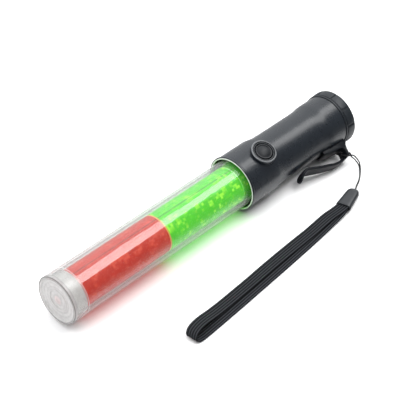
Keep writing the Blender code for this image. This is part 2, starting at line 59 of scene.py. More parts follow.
MM = 0.001
TURN = 2 * math.pi

# ---- the frame: the baton lies along X with its tip at +X, on the floor ----
tube_low, tube_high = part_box("outer_tube")
TIP_X = cad_box[1][0]
AXIS_Y = (tube_low[1] + tube_high[1]) / 2
AXIS_Z = (tube_low[2] + tube_high[2]) / 2
CLIP_ANGLE = math.radians(-30.0)
CLIP_OUT = Vector((0, math.cos(CLIP_ANGLE), math.sin(CLIP_ANGLE)))
CLIP_DOWN = Vector((0, math.sin(CLIP_ANGLE), -math.cos(CLIP_ANGLE)))


def barrel_point(station, side, up):
    """A point by its distance behind the tip and its place beside and above the baton's axis, in mm."""
    return Vector((TIP_X - station * MM, AXIS_Y + side * MM, AXIS_Z + up * MM))


def clip_point(station, across, reach):
    """A point beside the clip, in mm: across it downwards, and out from the baton's axis."""
    return barrel_point(station, 0, 0) + (CLIP_OUT * reach + CLIP_DOWN * across) * MM


# ---- camera: its place, and its own directions to the right and backwards ----
LENS_MM = 148.5
SENSOR_MM = 36.0
CAMERA_PLACE = (0.7125, 0.6720, 0.8366)
CAMERA_RIGHT = Vector((-0.69154, 0.72234, 0.0)).normalized()
CAMERA_BACK = Vector((0.55708, 0.53333, 0.63657)).normalized()


def make_camera():
    camera = bpy.data.objects.new("camera", bpy.data.cameras.new("camera"))
    camera.data.lens = LENS_MM
    camera.data.sensor_width = SENSOR_MM
    camera.data.clip_start = 0.05
    camera.data.clip_end = 20.0
    up = CAMERA_BACK.cross(CAMERA_RIGHT)
    turned = Matrix((CAMERA_RIGHT, up, CAMERA_BACK)).transposed().to_4x4()
    camera.matrix_world = Matrix.Translation(CAMERA_PLACE) @ turned
    bpy.context.scene.collection.objects.link(camera)
    bpy.context.scene.camera = camera


make_camera()


# ---- shaping helpers ----
ROUTE_STEPS = 6


def smooth_route(points):
    """Points on a smooth curve through the given points, with a few steps between each two of them."""
    route = [Vector(point) for point in points]
    route = [2 * route[0] - route[1], *route, 2 * route[-1] - route[-2]]
    smooth = []
    for a, b, c, d in zip(route, route[1:], route[2:], route[3:]):
        for step in range(ROUTE_STEPS):
            t = step / ROUTE_STEPS
            bend = (2 * a - 5 * b + 4 * c - d) * t * t + (3 * b - 3 * c + d - a) * t**3
            smooth.append((2 * b + (c - a) * t + bend) / 2)
    smooth.append(route[-2])
    return smooth


def length_of(points):
    return sum((b - a).length for a, b in zip(points, points[1:]))


def evenly(points, count):
    """The same line as count points an equal distance apart."""
    done = [0.0]
    for a, b in zip(points, points[1:]):
        done.append(done[-1] + (b - a).length)
    wanted = np.linspace(0, done[-1], count)
    flat = np.array([list(point) for point in points])
    columns = [np.interp(wanted, done, flat[:, axis]) for axis in range(3)]
    return [Vector(row) for row in np.stack(columns, axis=1)]


def eased(points, times):
    """The same line with its tight bends opened out a little more each time; its ends stay."""
    for _ in range(times):
        inside = [(a + 2 * b + c) / 4 for a, b, c in zip(points, points[1:], points[2:])]
        points = [points[0], *inside, points[-1]]
    return points


def add_piece(name, mesh, material, body, angle):
    """Shows the mesh as a piece that rides a body; edges sharper than the angle, in degrees, are kept."""
    data = bpy.data.meshes.new(name)
    bmesh.ops.recalc_face_normals(mesh, faces=mesh.faces[:])
    mesh.to_mesh(data)
    mesh.free()
    data.shade_smooth()
    data.set_sharp_from_angle(angle=math.radians(angle))
    data.materials.append(material)
    item = bpy.data.objects.new(name, data)
    bpy.context.scene.collection.objects.link(item)
    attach(item, body)
    return item


def skin(rings):
    """A closed mesh over rings that all have the same number of points."""
    mesh = bmesh.new()
    made = [[mesh.verts.new(point) for point in ring] for ring in rings]
    count = len(made[0])
    for first, second in zip(made, made[1:]):
        for i in range(count):
            j = (i + 1) % count
            mesh.faces.new((first[i], first[j], second[j], second[i]))
    mesh.faces.new(made[0])
    mesh.faces.new(made[-1])
    return mesh


# ---- materials ----
class Shader:
    """A material or a world under construction: each call adds a node, and most give back its output."""

    def __init__(self, owner, place="Object"):
        owner.use_nodes = True
        self.owner = owner
        self.tree = owner.node_tree
        self.tree.nodes.clear()
        self.where = self.add("TexCoord", {}).outputs[place]

    def add(self, kind, inputs, **settings):
        made = self.tree.nodes.new("ShaderNode" + kind)
        for key, value in settings.items():
            setattr(made, key, value)
        for key, value in inputs.items():
            if isinstance(value, bpy.types.NodeSocket):
                self.tree.links.new(value, made.inputs[key])
            else:
                made.inputs[key].default_value = value
        return made

    def math(self, operation, first, second=0.0):
        return self.add("Math", {0: first, 1: second}, operation=operation).outputs[0]

    def times(self, *values):
        """All the values multiplied together."""
        product = values[0]
        for value in values[1:]:
            product = self.math("MULTIPLY", product, value)
        return product

    def span(self, value, low, high, from_low=0.0, from_high=1.0):
        """value, moved from one range to another and kept inside it."""
        ends = {"From Min": from_low, "From Max": from_high, "To Min": low, "To Max": high}
        return self.add("MapRange", {"Value": value, **ends}).outputs["Result"]

    def between(self, value, start, full, fading, end):
        """1 where value lies from full to fading, and 0 before start and after end."""
        return self.times(self.span(value, 0.0, 1.0, start, full), self.span(value, 1.0, 0.0, fading, end))

    def noise(self, size, detail):
        """Cloudy noise whose blotches are about this many metres across."""
        inputs = {"Vector": self.where, "Scale": 1.0 / size, "Detail": detail}
        return self.add("TexNoise", inputs).outputs["Fac"]

    def blend(self, share, first, second):
        """A colour between two others."""
        node = self.add("Mix", {0: share, 6: first, 7: second}, data_type="RGBA")
        return node.outputs[2]

    def bump(self, height, depth):
        """A normal from a height of 0 to 1 that stands for this many metres."""
        return self.add("Bump", {"Height": height, "Distance": depth}).outputs["Normal"]

    def parts(self):
        """The X, Y and Z of each place."""
        found = self.add("SeparateXYZ", {"Vector": self.where}).outputs
        return found["X"], found["Y"], found["Z"]

    def from_axis(self):
        """How far each place lies beside and above the baton's axis, in metres."""
        _, across, height = self.parts()
        return self.math("SUBTRACT", across, AXIS_Y), self.math("SUBTRACT", height, AXIS_Z)

    def turned(self):
        """The angle round the baton's axis, in turns."""
        side, up = self.from_axis()
        return self.math("DIVIDE", self.math("ARCTAN2", up, side), TURN)

    def length(self, first, second):
        """The length of a flat arrow with these two sides."""
        return self.math("SQRT", self.math("ADD", self.times(first, first), self.times(second, second)))

    def reach(self):
        """The distance from the baton's axis, in metres."""
        return self.length(*self.from_axis())

    def from_tip(self):
        """The distance behind the baton's tip, in metres."""
        along, _, _ = self.parts()
        return self.math("SUBTRACT", TIP_X, along)

    def in_front_of(self, depth):
        """1 where the surface lies less than this many metres behind the tip, else 0."""
        return self.span(self.from_tip(), 1.0, 0.0, depth - 0.0001, depth + 0.0001)

    def done(self, surface, kind="OutputMaterial"):
        self.add(kind, {"Surface": surface.outputs[0]})
        return self.owner


def colour(red, green, blue):
    return (red, green, blue, 1.0)


BLACK = colour(0.0, 0.0, 0.0)

# ---- the button's boss, whose top edges are painted lighter as a highlight; lengths in metres ----
BUTTON_ANGLE = math.radians(67.0)
BUTTON_STATION = 0.2115
BOSS_EDGE = (0.00975, 0.00990)
BOSS_TOP = (0.0250, 0.0252)
RING_EDGE = (0.00800, 0.00812, 0.00838, 0.00850)
RING_TOP = (0.0245, 0.0249)
RING_HIGHLIGHT = 0.35  # beside 1 for the boss


def painted_rim_highlights(s):
    """Where the boss round the button and the ring inside it get a painted highlight along their top
    edges.
    """
    along, _, _ = s.parts()
    side, up = s.from_axis()
    c, t = math.cos(BUTTON_ANGLE), math.sin(BUTTON_ANGLE)
    height = s.math("ADD", s.times(side, c), s.times(up, t))
    over = s.math("SUBTRACT", s.times(up, c), s.times(side, t))
    away = s.length(s.math("SUBTRACT", along, TIP_X - BUTTON_STATION), over)
    boss = s.times(s.span(away, 0.0, 1.0, *BOSS_EDGE), s.span(height, 0.0, 1.0, *BOSS_TOP))
    ring = s.times(s.between(away, *RING_EDGE), s.span(height, 0.0, RING_HIGHLIGHT, *RING_TOP))
    return s.math("ADD", boss, ring)


def plastic(
    name, dark, light, smooth, rough, grain=0.0005, depth=0.000006, wear=0.25, gleam=0.5, rims=False,
):  # fmt: skip
    """Moulded plastic: two close tones, a fine grain, and a roughness that handling has made uneven."""
    s = Shader(bpy.data.materials.new(name))
    blotch = s.noise(0.018, 4.0)
    fine = s.noise(grain, 3.0)
    rubbed = s.noise(0.006, 5.0)
    tone = s.blend(s.span(blotch, 0.0, 1.0, 0.3, 0.7), dark, light)
    tone = s.blend(s.span(fine, 0.0, wear, 0.55, 0.8), tone, light)
    if rims:
        # painted highlight: the top edges of the button's boss and of its ring are made lighter
        tone = s.blend(s.times(painted_rim_highlights(s), 0.9), tone, colour(0.16, 0.17, 0.18))
    inputs = {
        "Base Color": tone,
        "Roughness": s.span(s.math("ADD", rubbed, s.times(fine, 0.3)), smooth, rough, 0.4, 0.9),
        "Specular IOR Level": gleam,
        "Normal": s.bump(fine, depth),
    }
    return s.done(s.add("BsdfPrincipled", inputs))


def metal(name, dark, light, smooth, rough):
    s = Shader(bpy.data.materials.new(name))
    blotch = s.noise(0.004, 4.0)
    scratches = s.noise(0.0007, 6.0)
    inputs = {
        "Base Color": s.blend(blotch, dark, light),
        "Metallic": 1.0,
        "Roughness": s.span(scratches, smooth, rough, 0.3, 0.7),
        "Normal": s.bump(scratches, 0.000015),
    }
    return s.done(s.add("BsdfPrincipled", inputs))


# ---- the lit film in the tube; lengths in metres, and places round the axis in turns ----
CELLS_ROUND = 48
CELL_PITCH = 0.0021
BLOCK_SEED = 7.0
# the strip where more cells are painted pale as glints of the light, and the dark seam of the rolled film
GLINT_STRIP = (0.085, 0.125, 0.150, 0.160)
SEAM = (0.236, 0.240, 0.243, 0.247)
# the pale fold in the film just before the handle, with the shadow behind it
FOLD_STATION = 0.1828
FOLD_LINE = (-0.0003, -0.0002, 0.0001, 0.0002)
FOLD_ROUND = (0.10, 0.20)
FOLD_SHADOW = (0.0002, 0.0012)


def cell_chances(s, along, turned):
    """Three random numbers for each square cell of the film, and one for each block of four cells."""
    column = s.math("DIVIDE", along, CELL_PITCH)
    row = s.times(turned, CELLS_ROUND)
    cell = s.add("CombineXYZ", {"X": s.math("FLOOR", column), "Y": s.math("FLOOR", row)}).outputs[0]
    own = s.add("TexWhiteNoise", {"Vector": cell}, noise_dimensions="3D").outputs
    others = s.add("SeparateColor", {"Color": own["Color"]}).outputs
    block = s.add("CombineXYZ", {
        "X": s.math("FLOOR", s.times(column, 0.5)),
        "Y": s.math("FLOOR", s.times(row, 0.5)),
        "Z": BLOCK_SEED,
    }).outputs[0]
    shared = s.add("TexWhiteNoise", {"Vector": block}, noise_dimensions="3D").outputs["Value"]
    return own["Value"], others[1], others[2], shared


def lit_film(name, deep, pale, glow, cast):
    """Tinted film of small square cells that glows, and casts a stronger light than it shows itself."""
    s = Shader(bpy.data.materials.new(name))
    along, _, _ = s.parts()
    turned = s.turned()
    own, gloss, tone, shared = cell_chances(s, along, turned)
    bright = s.math("ADD", s.times(shared, 0.5), s.times(own, 0.5))
    # painted glints: more cells are pale in the strip round the film that faces the light
    bright = s.math("ADD", bright, s.times(s.between(turned, *GLINT_STRIP), 0.20))
    tint = s.blend(s.span(bright, 0.0, 1.0, 0.62, 0.98), deep, pale)
    behind_fold = s.math("SUBTRACT", TIP_X - FOLD_STATION, along)
    fold = s.times(s.between(behind_fold, *FOLD_LINE), s.span(turned, 0.2, 0.6, *FOLD_ROUND))
    tint = s.blend(fold, tint, colour(0.80, 0.88, 0.75))
    seam = s.between(turned, *SEAM)
    shade = s.math("ADD", s.span(tone, 0.36, 0.50), s.span(shared, 0.44, 0.66))
    shade = s.times(shade, s.span(seam, 1.0, 0.4), s.span(behind_fold, 1.0, 0.30, *FOLD_SHADOW))
    cloudy = s.span(s.noise(0.02, 2.0), 0.96, 1.04, 0.3, 0.7)
    cast_on = s.span(s.add("LightPath", {}).outputs["Is Diffuse Ray"], 1.0, cast)
    inputs = {
        "Base Color": s.blend(s.span(seam, 0.15, 0.75), tint, BLACK),
        "Roughness": s.span(gloss, 0.12, 0.20),
        "Specular IOR Level": 0.55,
        "Emission Color": tint,
        "Emission Strength": s.times(shade, cloudy, glow, cast_on),
        "Normal": s.bump(s.noise(0.0004, 2.0), 0.000004),
    }
    return s.done(s.add("BsdfPrincipled", inputs))


# ---- the clear tube and the frosted cap in its end; all in metres, from the tip or from the axis ----
CAP_END = 0.0141
GLUE_LINE = 0.0008
CAP_FACE_DEPTH = 0.0032
CAP_RING_PITCH = 0.0034
CAP_RIM = (0.0178, 0.0182)
CAP_LENS = (0.0028, 0.0042)
CAP_SIDE_START = (0.003, 0.005)
# where the painted shade along the cap's rim lies: how far out it starts, on most of the rim and on its
# low side, how deep it goes, and where its low side is
EDGE_REACH = 0.0192
EDGE_LOW_REACH = 0.0181
EDGE_DEPTH = 0.0007
EDGE_LOW_SIDE = -0.38  # the place round the axis, in turns, where the dark edge is widest
# how strongly the cap's face and side glow, a painted glow for light through the frosted plastic, and how
# much of a wall's look is shine when seen square on
CAP_PAINTED_GLOW = 0.12
CAP_SIDE_PAINTED_GLOW = 0.24
LEAST_SHINE = 0.04


def see_through(s, tints, body, share, rough, most_shine):
    """A wall that shines, shows a share of its body, and lets light through with a tint."""
    facing = s.add("LayerWeight", {"Blend": 0.5}).outputs["Facing"]
    through = s.add("BsdfTransparent", {"Color": s.blend(s.math("POWER", facing, 2.5), *tints)})
    wall = s.add("MixShader", {0: share, 1: through.outputs[0], 2: body.outputs[0]})
    shine = s.add("BsdfGlossy", {"Roughness": rough, "Normal": s.bump(s.noise(0.05, 1.0), 0.00003)})
    fresnel = s.span(s.math("POWER", facing, 5.0), LEAST_SHINE, most_shine)
    return s.done(s.add("MixShader", {0: fresnel, 1: wall.outputs[0], 2: shine.outputs[0]}))


def hazy_body(s, tone, frost, painted_glow):
    """What is seen of a wall's own stuff: fine grained and a little uneven."""
    cloud = s.noise(0.0005, 3.0)
    return s.add("BsdfPrincipled", {
        "Base Color": tone,
        "Roughness": s.span(cloud, frost - 0.06, frost + 0.06, 0.3, 0.7),
        "Emission Color": colour(0.95, 0.91, 0.90),
        "Emission Strength": painted_glow,
        "Normal": s.bump(cloud, 0.00003),
    })


def grained(s, tone):
    """The tone with slightly darker grains in it."""
    return s.blend(s.noise(0.0005, 3.0), tone, colour(*[0.9 * part for part in tone[:3]]))


def haze(s, share, rim_share):
    """How much of its body a wall shows: this share, and more at a glancing angle."""
    facing = s.add("LayerWeight", {"Blend": 0.5}).outputs["Facing"]
    even = s.span(s.noise(0.003, 5.0), share * 0.9, share * 1.1, 0.3, 0.7)
    return s.math("ADD", even, s.times(s.math("POWER", facing, 4.0), rim_share))


def smears(s, rough):
    """About this roughness, a little uneven."""
    return s.span(s.noise(0.003, 5.0), rough * 0.7, rough * 1.4, 0.3, 0.7)


def clear_tube(name):
    """Clear plastic; it is duller round the cap, with a thin line of glue where the cap ends."""
    s = Shader(bpy.data.materials.new(name))
    over_cap = s.span(s.from_tip(), 1.0, 0.0, CAP_END, CAP_END + 0.0002)
    glue = s.times(over_cap, s.span(s.from_tip(), 0.0, 0.45, CAP_END - GLUE_LINE, CAP_END - 0.0005))
    share = s.math("ADD", haze(s, 0.01, 0.55), glue)
    rough = s.math("ADD", smears(s, 0.04), s.times(over_cap, 0.30))
    body = hazy_body(s, grained(s, colour(0.66, 0.66, 0.655)), 0.3, 0.0)
    tints = (colour(0.935, 0.94, 0.935), colour(0.60, 0.61, 0.60))
    return see_through(s, tints, body, share, rough, 1.0)


def painted_cap_rim_shade(s):
    """A dark line of painted shade along the front edge of the clear rim, wider on its low side."""
    low_side = s.math("COSINE", s.times(s.math("SUBTRACT", s.turned(), EDGE_LOW_SIDE), TURN))
    inner = s.span(low_side, EDGE_REACH, EDGE_LOW_REACH, 0.0, 0.5)
    line = s.span(s.math("SUBTRACT", s.reach(), inner), 0.0, 1.0, 0.0, 0.0002)
    return s.times(line, s.in_front_of(EDGE_DEPTH), 0.8)


def cap_lens(s):
    """The small lens in the middle of the tip, a little warm from the light behind it."""
    return s.times(s.span(s.reach(), 0.7, 0.0, *CAP_LENS), s.in_front_of(CAP_FACE_DEPTH))


def cap_frosting(s):
    """How frosted the tip cap is at each place: less on its rim, and in rings over its face."""
    face = s.in_front_of(CAP_FACE_DEPTH)
    on_rim = s.times(s.span(s.reach(), 0.0, 1.0, *CAP_RIM), face)
    wave = s.math("SINE", s.times(s.reach(), TURN / CAP_RING_PITCH))
    rings = s.span(s.times(wave, face), 0.0, 0.13, -0.2, 1.0)
    return s.math("SUBTRACT", 1.0, s.math("ADD", s.times(on_rim, 0.45), rings))


def frosted_cap(name):
    """Frosted plastic, with a dark line of painted shade along its rim and a lens in its middle painted
    warm from the light behind it.
    """
    s = Shader(bpy.data.materials.new(name))
    edge = painted_cap_rim_shade(s)
    # the nearly black colour is painted shade along the rim
    tone = s.blend(edge, grained(s, colour(0.50, 0.492, 0.485)), colour(0.03, 0.035, 0.035))
    tone = s.blend(cap_lens(s), tone, colour(0.56, 0.42, 0.41))
    # painted glow: the cap is no lamp; it glows as though lit through, more on its side, and not on the
    # rim's painted shade
    painted_glow = s.span(s.from_tip(), CAP_PAINTED_GLOW, CAP_SIDE_PAINTED_GLOW, *CAP_SIDE_START)
    painted_glow = s.times(s.span(edge, 1.0, 0.0), painted_glow)
    body = hazy_body(s, tone, 0.4, painted_glow)
    share = s.math("ADD", s.times(haze(s, 0.84, 0.10), cap_frosting(s)), s.times(edge, 0.35))
    tints = (colour(0.90, 0.90, 0.89), colour(0.12, 0.12, 0.12))
    return see_through(s, tints, body, share, smears(s, 0.16), 0.35)


# ---- ribbon and cord; lengths in metres ----
WEB_RIBS = 5
WEB_STITCH = 0.0011
YARN_PITCH = 0.0005


def ribbed(name):
    """Black nylon ribbon: its ribs are painted lighter as a highlight, its valleys darker as shade, and
    stitches run across.
    """
    s = Shader(bpy.data.materials.new(name))
    across = s.add("Attribute", {}, attribute_name="across").outputs["Fac"]
    along = s.add("Attribute", {}, attribute_name="along").outputs["Fac"]
    rib = s.math("ABSOLUTE", s.math("SINE", s.times(across, math.pi * WEB_RIBS)))
    stitch = s.math("ABSOLUTE", s.math("SINE", s.times(along, math.pi / WEB_STITCH)))
    fuzz = s.noise(0.0003, 4.0)
    crest = s.times(s.math("POWER", rib, 3.5), s.span(stitch, 0.65, 1.0))
    height = s.math("ADD", crest, s.times(fuzz, 0.3))
    # painted highlight on the crests of the ribs, painted shade in the valleys
    valley_shade, crest_highlight = colour(0.0006, 0.0007, 0.0010), colour(0.042, 0.045, 0.052)
    inputs = {
        "Base Color": s.blend(s.span(height, 0.0, 1.0, 0.1, 1.2), valley_shade, crest_highlight),
        "Roughness": s.span(fuzz, 0.60, 0.75, 0.3, 0.7),
        "Specular IOR Level": 0.12,
        "Sheen Weight": 0.02,
        "Sheen Roughness": 0.4,
        "Normal": s.bump(height, 0.0001),
    }
    return s.done(s.add("BsdfPrincipled", inputs))


def yarn(name):
    """Black nylon yarn: short raised stitches, painted lighter than the hollows as a highlight, with a
    faint sheen.
    """
    s = Shader(bpy.data.materials.new(name))
    along, across, _ = s.parts()
    first = s.math("SINE", s.times(s.math("ADD", along, across), TURN / YARN_PITCH))
    second = s.math("SINE", s.times(s.math("SUBTRACT", along, across), TURN / YARN_PITCH))
    fuzz = s.noise(YARN_PITCH * 0.4, 4.0)
    height = s.math("ADD", s.span(s.times(first, second), 0.0, 1.0, -1.0, 1.0), s.times(fuzz, 0.6))
    # painted highlight on the raised stitches, painted shade in the hollows between them
    dark, light = colour(0.003, 0.003, 0.004), colour(0.009, 0.0095, 0.012)
    inputs = {
        "Base Color": s.blend(s.span(height, 0.0, 1.0, 0.2, 1.3), dark, light),
        "Roughness": s.span(fuzz, 0.65, 0.85, 0.3, 0.7),
        "Sheen Weight": 0.04,
        "Sheen Roughness": 0.4,
        "Normal": s.bump(height, YARN_PITCH * 0.12),
    }
    return s.done(s.add("BsdfPrincipled", inputs))


# ---- the looks ----
charcoal = plastic(
    "charcoal_plastic", colour(0.0080, 0.0105, 0.0145), colour(0.0115, 0.0148, 0.0195), 0.265, 0.295,
    depth=0.000003, gleam=0.46, rims=True,
)  # fmt: skip
cap_black = plastic(
    "cap_plastic", colour(0.0080, 0.0105, 0.0140), colour(0.0115, 0.0148, 0.0190), 0.40, 0.46,
    depth=0.000003, gleam=0.36,
)  # fmt: skip
satin_black = plastic(
    "satin_black", colour(0.0040, 0.0050, 0.0068), colour(0.0075, 0.0090, 0.0118), 0.32, 0.42,
    gleam=0.12, rims=True,
)  # fmt: skip
ferrule_grey = plastic(
    "ferrule_plastic", colour(0.012, 0.0138, 0.0160), colour(0.018, 0.0205, 0.0240), 0.27, 0.32,
    depth=0.000003, wear=0.15, gleam=0.40,
)  # fmt: skip
rubber = plastic(
    "button_rubber", colour(0.008, 0.009, 0.011), colour(0.013, 0.0145, 0.017), 0.38, 0.48,
    grain=0.0003, gleam=0.26,
)  # fmt: skip
pale_plastic = plastic("pale_ring", colour(0.70, 0.72, 0.68), colour(0.82, 0.84, 0.80), 0.18, 0.30)
white_plastic = plastic("white_plastic", colour(0.72, 0.72, 0.69), colour(0.82, 0.82, 0.80), 0.35, 0.50)
amber = plastic("amber_plastic", colour(0.80, 0.42, 0.08), colour(0.95, 0.62, 0.22), 0.30, 0.45)
board_green = plastic("circuit_board", colour(0.015, 0.14, 0.05), colour(0.04, 0.26, 0.10), 0.25, 0.45)
cell_wrap = plastic("cell_wrap", colour(0.45, 0.25, 0.06), colour(0.62, 0.40, 0.12), 0.20, 0.35)
steel = metal("steel", colour(0.48, 0.49, 0.50), colour(0.68, 0.68, 0.68), 0.22, 0.40)
brass = metal("brass", colour(0.62, 0.45, 0.16), colour(0.82, 0.64, 0.28), 0.20, 0.38)
red_film = lit_film("red_film", colour(0.50, 0.028, 0.013), colour(0.62, 0.062, 0.032), 0.44, 2.5)
green_film = lit_film("green_film", colour(0.075, 0.56, 0.018), colour(0.30, 0.80, 0.045), 0.55, 2.8)
clear = clear_tube("clear_plastic")
frosted = frosted_cap("frosted_plastic")
cord_nylon = yarn("cord_nylon")
web_nylon = ribbed("web_nylon")

# the looks of the CAD nodes that stay
LOOKS = {
    charcoal: ("handle_shell",),
    cap_black: ("end_cap",),
    satin_black: ("clip_bracket", "button_bezel", "switch_body"),
    rubber: ("button_cap", "cap_seal"),
    pale_plastic: ("mouth_ring",),
    white_plastic: ("tube_holder", "cell_carrier"),
    amber: ("sleeve_divider",),
    board_green: ("led_board", "contact_board"),
    cell_wrap: ("cell_1", "cell_2", "cell_3", "cell_4"),
    steel: ("cap_spring", "spring_seat", "clip_screw_1", "clip_screw_2"),
    brass: ("centre_contact", "ring_contact"),
    # the switch plunger and the positive lead glow with the film's light too, though neither is a lamp
    red_film: ("red_led_1", "red_led_2", "red_led_3", "red_led_4", "switch_plunger", "positive_lead"),
    green_film: ("green_led_1", "green_led_2", "green_led_3", "green_led_4"),
    clear: ("outer_tube",),
    frosted: ("tip_cap",),
    cord_nylon: ("negative_lead",),
}

# how far their sharp edges are rounded, in metres
EDGE_ROUNDING = {
    "end_cap": 0.00018,
    "clip_bracket": 0.0006,
    "button_bezel": 0.00012,
    "button_cap": 0.00015,
    "mouth_ring": 0.0001,
    "tip_cap": 0.00015,
}
SHARP_ANGLE = math.radians(32)
WELD_WITHIN = 2e-6


def smooth_over(item, rounding):
    """Joins a CAD node's loose triangles for smooth shading, and keeps or rounds its sharp edges."""
    mesh = item.data
    if "custom_normal" in mesh.attributes:
        mesh.attributes.remove(mesh.attributes["custom_normal"])
    mesh.shade_smooth()
    weld = item.modifiers.new("weld", "WELD")
    weld.merge_threshold = WELD_WITHIN
    if rounding:
        bevel = item.modifiers.new("rounding", "BEVEL")
        bevel.width = rounding
        bevel.segments = 2
        bevel.limit_method = "ANGLE"
        bevel.angle_limit = SHARP_ANGLE
    split = item.modifiers.new("sharp_edges", "EDGE_SPLIT")
    split.split_angle = SHARP_ANGLE


for look, names in LOOKS.items():
    for name in names:
        nodes[name].data.materials.clear()
        nodes[name].data.materials.append(look)
        smooth_over(nodes[name], EDGE_ROUNDING.get(name, 0.0))


# ---- lanyard; lengths in metres ----
CORD_DIAMETER = 0.0011
CORD_STEP = 0.00035
CORD_EASING = 20
CORD_SIDES = 15
CORD_STRANDS = 3
CORD_LAY = 0.0032  # the length in which each strand takes the place of the next one
CORD_RIDGE = 0.12


def lanyard_route():
    """From the clasp, round the plate's edge, through its eye, and back into the clasp."""
    first = [
        (-0.1094, 0.0566, 0.0041), (-0.1154, 0.0526, 0.0035), (-0.1202, 0.0501, 0.0027),
        (-0.1252, 0.0476, 0.0020), (-0.1298, 0.0448, 0.0019), (-0.1344, 0.0413, 0.0022),
        (-0.1379, 0.0382, 0.0034), (-0.1399, 0.0354, 0.0053), (-0.1400, 0.0331, 0.0071),
        (-0.1394, 0.0307, 0.0091),
    ]  # fmt: skip
    through_eye = [
        clip_point(293.0, -6.0, 36.6), clip_point(290.4, -7.6, 36.4), clip_point(287.9, -6.6, 34.8),
        clip_point(287.8, -3.6, 32.4), clip_point(288.9, -0.2, 30.2), clip_point(291.4, 1.6, 29.2),
        clip_point(293.9, 0.3, 30.2), clip_point(294.2, -2.4, 32.2), clip_point(293.2, -5.0, 34.4),
    ]  # fmt: skip
    last = [
        (-0.1363, 0.0296, 0.0095), (-0.1378, 0.0309, 0.0080), (-0.1386, 0.0325, 0.0062),
        (-0.1392, 0.0348, 0.0037), (-0.1384, 0.0370, 0.0020), (-0.1356, 0.0400, 0.0009),
        (-0.1315, 0.0434, 0.0007), (-0.1270, 0.0465, 0.0007), (-0.1220, 0.0492, 0.0011),
        (-0.1170, 0.0517, 0.0019), (-0.1126, 0.0543, 0.0025), (-0.1094, 0.0566, 0.0028),
    ]  # fmt: skip
    return smooth_route(first + through_eye + last)


def make_lanyard():
    """A laid cord of three strands, so that its surface is a slow screw of round ridges."""
    line = lanyard_route()
    path = eased(evenly(line, int(length_of(line) / CORD_STEP)), CORD_EASING)
    long = length_of(path)
    rings = []
    side = Vector((0, 0, 1))
    for index, point in enumerate(path):
        ahead = (path[min(index + 1, len(path) - 1)] - path[max(index - 1, 0)]).normalized()
        side = (side - ahead * side.dot(ahead)).normalized()
        across = ahead.cross(side)
        screw = TURN * index * long / len(path) / CORD_LAY
        ring = []
        for step in range(CORD_SIDES):
            bend = TURN * step / CORD_SIDES
            ridge = abs(math.cos((CORD_STRANDS * bend - screw) / 2))
            reach = CORD_DIAMETER / 2 * (1 - CORD_RIDGE + CORD_RIDGE * ridge)
            ring.append(point + (side * math.cos(bend) + across * math.sin(bend)) * reach)
        rings.append(ring)
    cord = add_piece("lanyard", skin(rings), cord_nylon, "baton", angle=80.0)
    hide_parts("lanyard_cord")


# ---- wrist ribbon; lengths in metres ----
WEB_WIDTH = 0.0104
WEB_THICKNESS = 0.0012
WEB_HEADING = math.radians(4.5)
FERRULE_HEADING = math.radians(16.0)
WEB_TURN_OVER = 0.016  # the length at each end in which the ribbon turns to the clasp's heading
STEPS_PER_RIB = 8
# shares of the ribbon's thickness, the power that rounds its ribs, and how fast its edges thicken
WEB_VALLEY = 0.34
WEB_RIB = 0.60
WEB_WEAVE = 0.04
WEB_EDGE = 0.35
WEB_RIB_POWER = 0.8
WEB_EDGE_SLOPE = 12


def webbing_route():
    """From the clasp over the floor to the far fold, and back on top of itself into the clasp."""
    return smooth_route([
        (-0.0901, 0.0613, 0.0035), (-0.0873, 0.0620, 0.0034), (-0.0798, 0.0634, 0.0027),
        (-0.0655, 0.0649, 0.0014), (-0.0395, 0.0676, 0.0007), (-0.0095, 0.0704, 0.0007),
        (0.0205, 0.0730, 0.0007), (0.0505, 0.0755, 0.0007), (0.0755, 0.0774, 0.0007),
        (0.0915, 0.0784, 0.0007), (0.0977, 0.0782, 0.0015), (0.0998, 0.0770, 0.0036),
        (0.0971, 0.0752, 0.0057), (0.0912, 0.0735, 0.0063), (0.0825, 0.0720, 0.0055),
        (0.0685, 0.0706, 0.0035), (0.0505, 0.0691, 0.0026), (0.0255, 0.0672, 0.0024),
        (0.0005, 0.0650, 0.0023), (-0.0245, 0.0633, 0.0023), (-0.0495, 0.0620, 0.0024),
        (-0.0695, 0.0609, 0.0035), (-0.0796, 0.0615, 0.0043), (-0.0873, 0.0617, 0.0049),
        (-0.0901, 0.0613, 0.0048),
    ])  # fmt: skip


def mark(item, name, values):
    """Keeps one number for each point of a mesh, for its material to read."""
    item.data.attributes.new(name, "FLOAT", "POINT").data.foreach_set("value", values)


